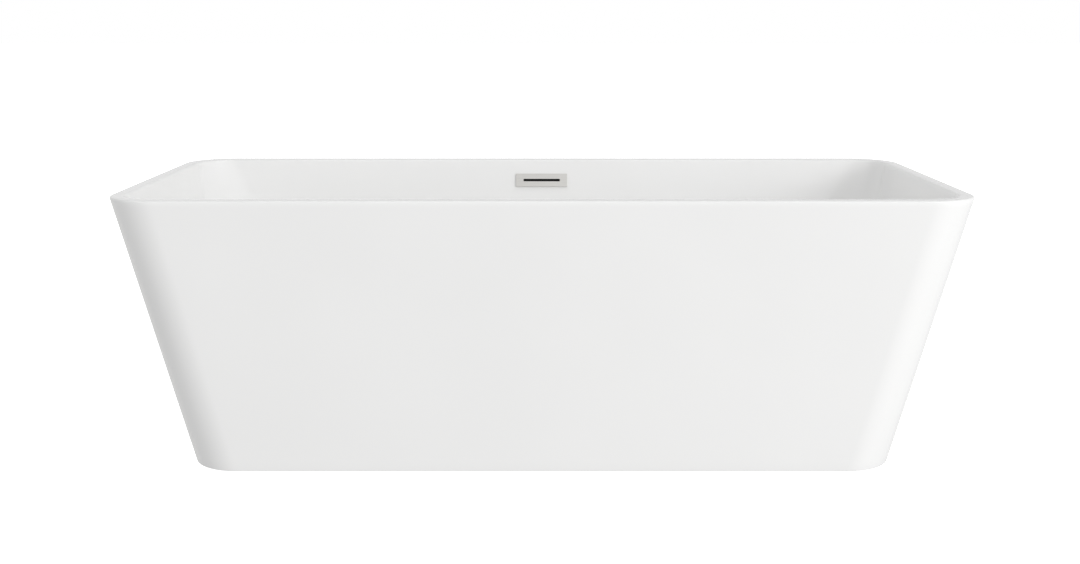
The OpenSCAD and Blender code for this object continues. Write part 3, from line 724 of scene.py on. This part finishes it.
def cut_port(shape, size, depths, inner_first, outer_first):
    """Opens the overflow's port: drops the faces inside it on both skins, and joins the edges."""
    row_top = depths.index(PORT_DEPTHS[0])
    row_low = depths.index(PORT_DEPTHS[-1])
    first = ARC_STEPS + LONG_STEPS
    columns = range(first, first + PORT_STEPS)
    rows = range(row_top, row_low)
    last = len(depths) - 1

    def inner(row, column):
        return (inner_first + row) * size + column

    def outer(row, column):
        return (outer_first + last - row) * size + column

    gone = set()
    for row in rows:
        for column in columns:
            for vertex in (inner, outer):
                gone.add(frozenset((vertex(row, column), vertex(row, column + 1),
                                    vertex(row + 1, column), vertex(row + 1, column + 1))))
    shape.faces = [face for face in shape.faces if frozenset(face) not in gone]
    end = first + PORT_STEPS
    border = [(row_top, c) for c in range(first, end)] + [(r, end) for r in rows]
    border += [(row_low, c) for c in range(end, first, -1)]
    border += [(r, first) for r in range(row_low, row_top, -1)]
    for i, here in enumerate(border):
        after = border[(i + 1) % len(border)]
        shape.faces.append((inner(*here), inner(*after), outer(*after), outer(*here)))


def apron():
    """The outer skin, with a rounded lower edge and a joggled flange that sits under the rim."""
    low = TOP - SKIRT_Z
    edge = 0.0015
    joggle_top, joggle_low = LIP + 0.008, LIP + 0.016
    rings = []
    for a in steps(0, math.pi / 2, 6):
        rings.append(apron_ring(low - edge * (1 - math.cos(a)), edge * (1 - math.sin(a))))
    rings += [apron_ring(d, 0) for d in steps(low - 0.02, LIP + SEAM, 16)]
    rings += [apron_ring(LIP + SEAM, FLANGE_INSET), apron_ring(FLANGE_TOP, FLANGE_INSET)]
    rings += [apron_ring(FLANGE_TOP, FLANGE_INSET + APRON_WALL)]
    rings += [apron_ring(joggle_top, FLANGE_INSET + APRON_WALL)]
    rings += [apron_ring(joggle_low, APRON_WALL), apron_ring(low, APRON_WALL)]
    shape = Shape().add(rings, looped=True)
    piece("apron_shell", shape, ACRYLIC, "tub", ["apron"])


def seam_filler():
    """The filled joint under the lip, flush with both skins."""
    low, high, back = LIP + SEAM, LIP, BASIN_WALL - 0.0005
    rings = [apron_ring(low, 0), apron_ring(high, 0), apron_ring(high, back), apron_ring(low, back)]
    shape = Shape().add(rings, looped=True)
    piece("seam_line", shape, ACRYLIC, "tub", ["seam_filler"])


# ---- Hidden skins -----------------------------------------------------------------------


def basin_laminate():
    """Glass-fibre lay-up behind the basin, with a flat foot where the board is bonded."""
    inside, outside = LAMINATE_GAP, LAMINATE_GAP + LAMINATE
    first, foot = 0.025, 0.6
    depths = [first, 0.033] + PORT_DEPTHS + steps(0.070, 0.350, 20)
    angles = steps(0, 90, 10)
    drop = outside * math.sin(WALL_TILT) * math.cos(WALL_TILT)
    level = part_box("basin_backing")[0].z
    under = BASIN_UNDER_Z - BOND
    rings = [drain_circle(LAMINATE_HOLE, level)]
    rings += [bed_ring(s, level, level) for s in (foot, 0)]
    rings += [floor_ring(a, outside) for a in reversed(angles[1:-1])]
    outer_first = len(rings)
    rings += [wall_ring(d + drop, outside) for d in reversed(depths[1:])]
    rings.append(wall_ring(first, outside))
    inner_first = len(rings)
    rings += [wall_ring(d, inside) for d in depths]
    rings += [floor_ring(a, inside) for a in angles[1:]]
    rings += [bed_ring(s, FLOOR_EDGE_Z - inside, under) for s in (foot / 2, foot)]
    rings += [drain_circle(DRAIN_RING, under), drain_circle(LAMINATE_HOLE, under)]
    shape = Shape().add(rings, looped=True)
    cut_port(shape, len(rings[0]), depths, inner_first, outer_first)
    piece("basin_laminate", shape, GLASS_FIBRE, "tub", ["basin_backing"])


def apron_laminate():
    """Glass-fibre lay-up behind the apron, with worn edges."""
    near, far = APRON_WALL + BOND, APRON_WALL + BOND + LAMINATE
    bottom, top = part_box("apron_backing")
    low, high = TOP - bottom.z, TOP - top.z
    rings = [apron_ring(d, near) for d in steps(low, high, 12)]
    rings += [apron_ring(high + 0.0008, far - 0.0004)]
    rings += [apron_ring(d, far) for d in steps(high + 0.002, low - 0.002, 12)]
    rings += [apron_ring(low - 0.0005, far - 0.0006)]
    shape = Shape().add(rings, looped=True)
    piece("apron_laminate", shape, GLASS_FIBRE, "tub", ["apron_backing"])


def adhesive_bead():
    """A squeezed bead of structural adhesive that bulges a little on both sides."""
    low, high = FLANGE_TOP - FIT, RIM_UNDER + FIT
    middle = (low + high) / 2
    near, far = FLANGE_INSET, FLANGE_INSET + APRON_WALL
    outward, inward = 0.0002, 0.0007
    rings = [apron_ring(low, near), apron_ring(middle, near - outward), apron_ring(high, near)]
    rings += [apron_ring(high, far), apron_ring(middle, far + inward), apron_ring(low, far)]
    shape = Shape().add(rings, looped=True)
    piece("adhesive_bead", shape, ADHESIVE, "tub", ["rim_adhesive"])


# ---- Overflow ---------------------------------------------------------------------------


def overflow_cover():
    """A flat plate with eased edges, hollow behind, with a long slot cut level through it."""
    wide, tall = COVER_SIZE[0] / 2, COVER_SIZE[1] / 2
    slot_wide, slot_tall = SLOT_SIZE[0] / 2, SLOT_SIZE[1] / 2
    thick, hollow, ease, rim = 0.004, 0.0022, 0.0006, 0.003
    round_corner, slot_corner, back_corner = 0.0015, 0.0006, 0.001
    flat = ease + 0.0006
    lift = (thick - hollow) * math.tan(WALL_TILT)
    rings = [small_ring(wide, tall, round_corner, FIT)]
    for a in steps(0, math.pi / 2, 5):
        back, face = ease * (1 - math.cos(a)), thick - ease * (1 - math.sin(a))
        rings.append(small_ring(wide - back, tall - back, round_corner - back, face))
    rings.append(small_ring(wide - flat, tall - flat, 0.0008, thick))
    rings.append(small_ring(slot_wide + 0.0009, slot_tall + 0.0009, 0.001, thick))
    rings.append(small_ring(slot_wide + 0.0003, slot_tall + 0.0003, 0.0008, thick))
    rings.append(small_ring(slot_wide, slot_tall, slot_corner, thick - 0.0003))
    behind = small_ring(slot_wide, slot_tall, slot_corner, hollow)
    rings.append([(x, y + lift, z) for x, y, z in behind])
    rings += [small_ring(wide - rim, tall - rim, back_corner, z) for z in (hollow, FIT)]
    shape = Shape().add(rings, looped=True, place=TO_WALL)
    piece("overflow_plate", shape, NICKEL, "tub", ["overflow_cover"])


def hose_path():
    """A smooth curve through the route, as evenly spaced points (y, z)."""
    def point(y, z):
        return Vector((
            OVERFLOW_AT.y + y * math.cos(WALL_TILT) + z * math.sin(WALL_TILT),
            OVERFLOW_AT.z - y * math.sin(WALL_TILT) + z * math.cos(WALL_TILT),
        ))

    top, low = point(SPIGOT_OUT, SPIGOT_TOP - CUFF), point(SPIGOT_OUT, SPIGOT_END)
    route = [2 * top - low, top, low] + [Vector(p) for p in HOSE_ROUTE]
    fine = []
    for i in range(1, len(route) - 2):
        a, b, c, d = route[i - 1 : i + 3]
        for t in steps(0, 1, 60)[:-1]:
            fine.append(0.5 * (2 * b + (c - a) * t + (2 * a - 5 * b + 4 * c - d) * t * t
                               + (3 * b - a - 3 * c + d) * t ** 3))
    fine.append(route[-2])
    along = [0.0]
    for a, b in zip(fine, fine[1:]):
        along.append(along[-1] + (b - a).length)
    count = round(along[-1] / HOSE_STEP)
    places, k = [], 0
    for i in range(count + 1):
        want = along[-1] * i / count
        while k < len(along) - 2 and along[k + 1] < want:
            k += 1
        share = (want - along[k]) / (along[k + 1] - along[k])
        places.append(fine[k].lerp(fine[k + 1], share))
    return places


def overflow_hose():
    """Corrugated hose with a plain cuff at each end."""
    places = hose_path()
    last = len(places) - 1
    cuff = round(CUFF / HOSE_STEP)

    def ring(i, r):
        way = (places[min(i + 1, last)] - places[max(i - 1, 0)]).normalized()
        turn = steps(0, 2 * math.pi, HOSE_POINTS)[:-1]
        return [(r * math.cos(u), places[i].x - r * math.sin(u) * way.y,
                 places[i].y + r * math.sin(u) * way.x) for u in turn]

    rings = []
    for i in range(last + 1):
        plain = i <= cuff or i >= last - cuff
        wave = 1.0 if plain else 0.5 + 0.5 * math.cos(2 * math.pi * (i - cuff) / HOSE_RIDGE)
        rings.append(ring(i, HOSE_VALLEY + (HOSE_RADIUS - HOSE_VALLEY) * wave))
    rings += [ring(i, HOSE_BORE) for i in range(last, -1, -HOSE_BORE_STEP)]
    if last % HOSE_BORE_STEP:
        rings.append(ring(0, HOSE_BORE))
    shape = Shape().add(rings, looped=True)
    piece("corrugated_hose", shape, HOSE_PLASTIC, "tub", ["overflow_hose"])


def hose_clamps():
    """Worm-drive clamps, each a band, a pressed housing and a hex-headed screw."""
    shape = Shape()
    lower = Matrix.Translation((0, HOSE_PORT_Y + 0.006, PORT_Z))
    lower = lower @ Matrix.Rotation(-math.pi / 2, 4, "X")
    upper = OVERFLOW @ Matrix.Translation((0, SPIGOT_OUT, SPIGOT_END + CUFF))
    upper = upper @ Matrix.Rotation(math.pi / 2, 4, "Z")
    inner, outer, stand_off = 0.0124, 0.0133, 0.0022
    head_flats, head_end, screw_end = 0.0048, 0.0034, 0.0128
    band = eased([(inner, 0), (outer, 0), (outer, CLAMP_WIDTH), (inner, CLAMP_WIDTH)], 0.0002)
    for place in (lower, upper):
        shape.lathe(band, 64, place)
        at = place @ Matrix.Translation((0, outer + stand_off, CLAMP_WIDTH / 2))
        housing = at @ Matrix.Rotation(math.pi / 2, 4, "X")
        shape.add([small_ring(0.005 - e, 0.0038 - e, 0.001, z) for e, z in
                   ((0.0004, -0.0023), (0, -0.0019), (0, 0.0017), (0.0006, 0.0023))], place=housing)
        along = at @ Matrix.Translation((-0.0088, 0, 0.0002)) @ Matrix.Rotation(math.pi / 2, 4, "Y")
        shape.add(hex_rings(head_flats, 0, head_end, 48), place=along)
        shape.add(thread_rings(0.002, head_end, screw_end, 0.0011, 0.0003), place=along)
    piece("band_clamps", shape, ZINC, "tub", ["hose_clamps"])


# ---- Waste and plug ---------------------------------------------------------------------


def drain_flange():
    """The cast waste flange: dished rim, plain neck, cross spokes and their hub."""
    bottom, top = FLANGE_LOW.z, DRAIN_Z
    bore, neck, edge = 0.0215, 0.0240, 0.0350
    under, seat = top - 0.0034, top - 0.0018
    outline = [(bore, bottom), (neck, bottom), (neck, under), (edge - 0.0005, under),
               (edge, top - 0.0028), (edge, top - 0.0006), (edge - 0.001, top), (0.0276, top),
               (0.0270, seat), (0.0230, seat), (bore, top - 0.0036)]
    shape = Shape().lathe(eased(outline, 0.0004), 96)
    low = top - 0.033
    hub_bore, hub_radius, spoke_middle = 0.00305, 0.007, 0.0142
    for turn in (0, math.pi / 2):
        place = Matrix.Rotation(turn, 4, "Z")
        for side in (-1, 1):
            centre = Matrix.Translation((side * spoke_middle, 0, low))
            rings = [small_ring(0.0078 - e, 0.0020 - e, 0.0006, z)
                     for e, z in ((0.0004, 0), (0, 0.0004), (0, 0.0052), (0.0006, 0.006))]
            shape.add(rings, place=place @ centre)
    hub = [(hub_bore, low), (hub_radius, low), (hub_radius, low + 0.006), (hub_bore, low + 0.006)]
    shape.lathe(eased(hub, 0.0004), 64)
    piece("waste_flange", shape, TURNED_NICKEL, "tub", ["drain_flange"])


def tailpiece():
    """A thin tube, drawn in a little where it enters the waste body."""
    bottom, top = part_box("tailpiece")
    shoulder = bottom.z + 0.031
    r, neck, bore = 0.01905, 0.0188, 0.01745
    outline = [(bore, bottom.z), (r, bottom.z), (r, shoulder), (neck, shoulder + 0.0003),
               (neck, top.z), (bore, top.z)]
    shape = Shape().lathe(eased(outline, 0.0003), 96)
    piece("waste_tailpiece", shape, TURNED_NICKEL, "tub", ["tailpiece"])


def slip_nut():
    """Moulded nut with eight wings."""
    low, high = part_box("tailpiece_nut")
    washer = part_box("tailpiece_washer")[0].z - FIT
    bore, thread, side, wings = 0.01925, 0.02405, 0.029, 8
    body = [(bore, low.z), (side, low.z), (side, high.z), (thread, high.z),
            (thread, washer), (bore, washer)]
    shape = Shape().lathe(eased(body, 0.0006), 96)
    for k in range(wings):
        place = Matrix.Rotation(2 * math.pi * k / wings, 4, "Z")
        place @= Matrix.Translation((side - 0.0002, 0, 0))
        shape.add([small_ring(0.0020 - e, 0.0025 - e, 0.0008, z)
                   for e, z in ((0.0006, low.z), (0, low.z + 0.0008), (0, high.z - 0.0012),
                                (0.0009, high.z))], place=place)
    piece("winged_nut", shape, BLACK_PLASTIC, "tub", ["tailpiece_nut"])


def plug():
    """Toe-tap plug: a domed cap, a lipped seal and a sleeve with turned grooves."""
    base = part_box("plug_cap")[0].z
    r = 0.031
    crown = [(0, 0.0045), (0.006, 0.00446), (0.0124, 0.0043), (0.0186, 0.0040), (0.0235, 0.0036)]
    edge = [(0.0280, 0.0032), (r - 0.001, 0.0026), (r - 0.0003, 0.0019), (r, 0.0012),
            (r - 0.0003, 0.0006), (r - 0.0012, 0.0001), (r - 0.003, 0), (0.012, 0), (0, 0)]
    outline = [(x, base + z) for x, z in reversed(crown + edge)]
    cap = Shape().lathe(outline, 96)
    piece("plug_cover", cap, TURNED_NICKEL, "plug", ["plug_cap"], sharp=50)

    low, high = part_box("plug_seal")
    inner, outer, lip = 0.0165, 0.0252, 0.0255
    seal = [(inner, low.z), (outer - 0.002, low.z), (lip, low.z + 0.0006),
            (outer, high.z), (inner, high.z)]
    piece("plug_lip_seal", Shape().lathe(eased(seal, 0.0003), 72), RUBBER, "plug",
          ["plug_seal"])

    low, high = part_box("plug_sleeve")
    bore, side = 0.0066, 0.0085
    roof = base - 0.0016
    wall = [(0, roof), (bore, roof), (bore, low.z), (side, low.z)]
    groove = side - 0.0003
    for k in range(5):
        z = low.z + 0.004 + 0.0035 * k
        wall += [(side, z), (groove, z + 0.0003), (groove, z + 0.0009), (side, z + 0.0012)]
    wall += [(side, high.z), (0, high.z)]
    piece("plug_barrel", Shape().lathe(wall, 64), TURNED_NICKEL, "plug",
          ["plug_sleeve"])


def plug_spring():
    """Compression spring, coiled once at the CAD node's length; the real one closes up as the plug
    goes down.
    """
    low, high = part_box("plug_spring")
    wire, r, turns, sides, per_turn = 0.00055, 0.0039, 7, 10, 28
    length = high.z - low.z
    flat_end = 0.1
    rings = []
    for share in steps(0, 1, turns * per_turn):
        a = 2 * math.pi * turns * share
        climb = min(max((share - flat_end) / (1 - 2 * flat_end), 0), 1)
        z = low.z + wire + (length - 2 * wire) * climb
        ring = []
        for k in range(sides):
            u = 2 * math.pi * k / sides
            out = r + wire * math.cos(u)
            ring.append((out * math.cos(a), out * math.sin(a), z + wire * math.sin(u)))
        rings.append(ring)
    coil = piece("coil_spring", Shape().add(rings), ZINC, "tub", ["plug_spring"])
    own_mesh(coil)


def plug_post():
    """Turned brass post with a bored top for the spring and a stem through the hub."""
    low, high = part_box("plug_post")
    shoulder = low.z + 0.01005
    r, stem, bore = 0.00655, 0.0030, 0.0048
    floor_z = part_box("plug_spring")[0].z - FIT
    outline = [(0, low.z), (stem, low.z), (stem, shoulder), (r, shoulder), (r, high.z),
               (bore, high.z), (bore, floor_z), (0, floor_z)]
    shape = Shape().lathe(eased(outline, 0.0003, closed=False), 64)
    piece("guide_post", shape, BRASS, "tub", ["plug_post"])


# ---- Screw feet and screws --------------------------------------------------------------


def centre(node):
    """The middle of a CAD node, as x and y."""
    low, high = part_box(node)
    return (low.x + high.x) / 2, (low.y + high.y) / 2


def feet():
    """Five screw feet, with all weld nuts in one piece and all lock nuts in another."""
    low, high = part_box("foot_weld_nuts")
    lock_low, lock_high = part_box("foot_lock_nuts")
    weld, lock = Shape(), Shape()
    for i in range(1, 6):
        x, y = centre(f"foot_pad_{i}")
        place = Matrix.Translation((x, y, 0))
        nut(weld, low.z, high.z, place)
        nut(lock, lock_low.z, lock_high.z, place)
        foot_stud(i, place)
        foot_pad(i, place)
    piece("weld_nuts", weld, ZINC, "tub", ["foot_weld_nuts"])
    piece("lock_nuts", lock, ZINC, "tub", ["foot_lock_nuts"])


def nut(shape, low, high, place):
    """A hexagonal nut with its bore eased at both ends."""
    ease, count = 0.0006, 72
    rings = hex_rings(HEX_FLATS, low, high, count)
    rings += [circle(STUD_BORE + ease, high, count), circle(STUD_BORE, high - ease, count)]
    rings += [circle(STUD_BORE, low + ease, count), circle(STUD_BORE + ease, low, count)]
    shape.add(rings, looped=True, place=place)


def foot_stud(i, place):
    """M12 stud with rolled thread and a hexagon collar to turn it by."""
    bottom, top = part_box(f"foot_stud_{i}")
    gap, sunk = 0.00035, 0.001
    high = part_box("foot_lock_nuts")[0].z - gap
    low = high - COLLAR
    shape = Shape()
    shape.add(hex_rings(HEX_FLATS, low, high, 72), place=place)
    for start, end in ((bottom.z, low + sunk), (high - sunk, top.z)):
        shape.add(thread_rings(STUD_RADIUS, start, end, PITCH, THREAD_DEPTH), place=place)
    piece(f"threaded_stud_{i}", shape, ZINC, f"foot_{i}_stud", [f"foot_stud_{i}"])


def foot_pad(i, place):
    """Moulded pad with a grooved sole and a scalloped skirt: (radius, height, scallop) points."""
    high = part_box(f"foot_pad_{i}")[1].z
    seat, scallops, count = 0.004, 16, 96
    groove = 0.0008
    outline = [(0, groove, 0), (0.012, groove, 0), (0.0125, 0, 0), (0.0165, 0, 0),
               (0.017, groove, 0), (0.0195, groove, 0), (0.020, 0, 0.01), (0.0228, 0, 0.02),
               (0.024, 0.0014, 0.03), (0.024, 0.0048, 0.03), (0.0232, 0.0062, 0.03),
               (0.0208, 0.0081, 0.02), (0.0140, 0.0099, 0), (0.0124, 0.0114, 0),
               (0.0110, high - 0.0006, 0), (0.0105, high, 0), (STUD_BORE + 0.0003, high, 0),
               (STUD_BORE, high - 0.0003, 0), (STUD_BORE, seat, 0), (0, seat, 0)]
    rings = []
    for r, z, depth in outline:
        ring = []
        for a in steps(0, 2 * math.pi, count)[:-1]:
            reach = r * (1 - depth * (0.5 - 0.5 * math.cos(scallops * a)))
            ring.append((reach * math.cos(a), reach * math.sin(a), z))
        rings.append(ring)
    shape = Shape().add(rings, place=place)
    piece(f"moulded_pad_{i}", shape, RUBBER, f"foot_{i}_pad", [f"foot_pad_{i}"])


def screw(shape, radius, length, head, place):
    """Pan-head screw along +Z, with the face under its head at z = 0 and a six-lobe socket."""
    wide, tall = head
    lobe, count = 0.42 * wide, 48

    def lobed(r, z):
        ring = []
        for a in steps(0, 2 * math.pi, count)[:-1]:
            reach = r * (1 + 0.13 * math.cos(6 * a))
            ring.append((reach * math.cos(a), reach * math.sin(a), z))
        return ring

    rings = [circle(r, z, count) for r, z in (
        (0, length), (0.35 * radius, length), (radius, length - 2 * radius), (radius, 0),
        (wide - 0.0002, 0), (wide, -0.0002),
    )]
    for a in steps(0, 75, 5):
        c, s = math.cos(math.radians(a)), math.sin(math.radians(a))
        rings.append(circle(0.6 * wide + 0.4 * wide * c, -0.45 * tall - 0.55 * tall * s, count))
    rings += [lobed(lobe, -tall), lobed(lobe * 0.94, -0.95 * tall), lobed(lobe * 0.9, -0.35 * tall)]
    rings.append(circle(0, -0.25 * tall, count))
    shape.add(rings, place=place)


def board_screws():
    """Eight screws up through the frame into the board."""
    low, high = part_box("board_screws")
    head_r, head_h, radius = 0.0046, 0.0028, 0.0022
    y = high.y - head_r
    shape = Shape()
    for x in (-0.330, -0.230, 0.330, 0.230):
        for side in (-1, 1):
            place = Matrix.Translation((x, side * y, low.z + head_h))
            screw(shape, radius, high.z - low.z - head_h, (head_r, head_h), place)
    piece("deck_screws", shape, ZINC, "tub", ["board_screws"])


def tie_screws():
    """Two screws through the lug of each tie, pointing into the frame."""
    low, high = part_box("bracket_screws")
    head_r, head_h, radius, length = 0.0036, 0.0020, 0.0021, 0.009
    apart, tie_x = 0.009, 0.3
    z = (low.z + high.z) / 2
    shape = Shape()
    for turn in (0, 90, 180, 270):
        long_side = turn in (90, 270)
        reach = (high.y if long_side else high.x) - head_h
        for x in ((-tie_x, tie_x) if long_side else (0,)):
            for side in (-1, 1):
                along = x + side * apart
                stand = Matrix.Rotation(math.radians(turn), 4, "Z")
                offset = Vector((along, 0, 0)) if long_side else Vector((0, along, 0))
                place = Matrix.Translation(offset) @ stand @ Matrix.Translation((reach, 0, z))
                place @= Matrix.Rotation(-math.pi / 2, 4, "Y")
                screw(shape, radius, length, (head_r, head_h), place)
    piece("lug_screws", shape, ZINC, "tub", ["bracket_screws"])


# ---- Carried-over CAD nodes -------------------------------------------------------------

BEVELLED = {
    "base_board": 0.0012,
    "frame_rails": 0.0010,
    "frame_crossbars": 0.0010,
    "rail_end_caps": 0.001,
    "skirt_brackets": 0.0006,
    "overflow_body": 0.0006,
    "waste_body": 0.0006,
    "overflow_frame": 0.0003,
    "overflow_gasket": 0.0003,
    "drain_gasket": 0.0004,
    "tailpiece_washer": 0.0003,
}


def carried_over():
    """Gives every CAD node that stays its material, and eases the edges of the plain ones."""
    for entry in frame["record"]["subparts"]:
        obj = frame["nodes"][entry["node"]]
        obj.data.materials.clear()
        obj.data.materials.append(SLOT_LOOKS[entry["material_slot"]])
    for node, width in BEVELLED.items():
        bevel = frame["nodes"][node].modifiers.new("eased_edges", "BEVEL")
        bevel.width = width
        bevel.segments = 2
        bevel.limit_method = "ANGLE"
        bevel.angle_limit = math.radians(40)


# ---- The model --------------------------------------------------------------------------

camera()
floor()
studio()
carried_over()
basin()
apron()
seam_filler()
basin_laminate()
apron_laminate()
adhesive_bead()
overflow_cover()
overflow_hose()
hose_clamps()
drain_flange()
tailpiece()
slip_nut()
plug()
plug_spring()
plug_post()
feet()
board_screws()
tie_screws()
